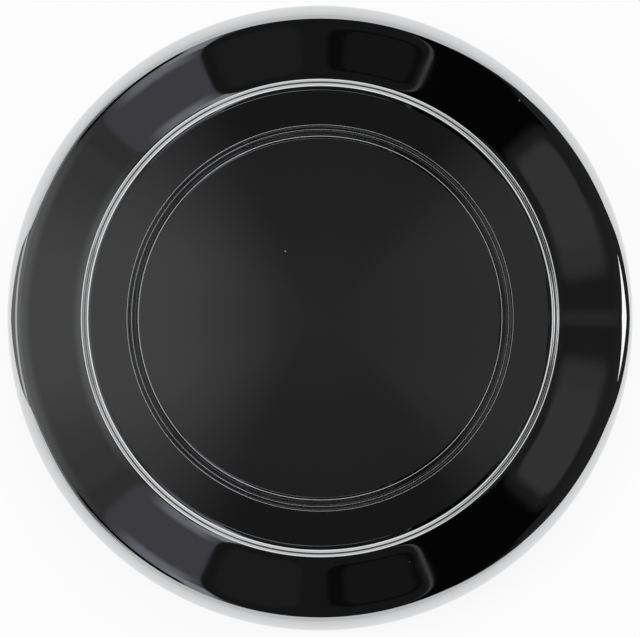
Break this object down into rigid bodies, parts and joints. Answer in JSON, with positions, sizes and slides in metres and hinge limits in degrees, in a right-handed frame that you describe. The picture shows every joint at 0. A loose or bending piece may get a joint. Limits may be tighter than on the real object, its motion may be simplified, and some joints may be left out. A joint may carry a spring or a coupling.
{
  "type": "wheel centre cap",
  "caption": "Round chrome wheel centre cap with a stepped, crowned face, two fine beads around its centre disc, and snap tabs and a spring ring behind.",
  "frame": {"origin": "on the cap's axis, in the plane where the rim seats on the wheel", "axes": "+Z along the axis, out of the face; the split of the retaining ring is towards -Y"},
  "size_m": [0.075, 0.075, 0.0214],
  "materials": {
    "chrome_plating": "mirror bright on the face, satin behind",
    "spring_steel": "drawn wire, lightly oiled"
  },
  "bodies": {
    "root": {"cap_moulding": "chrome_plating", "retaining_ring": "spring_steel"}
  },
  "joints": []
}
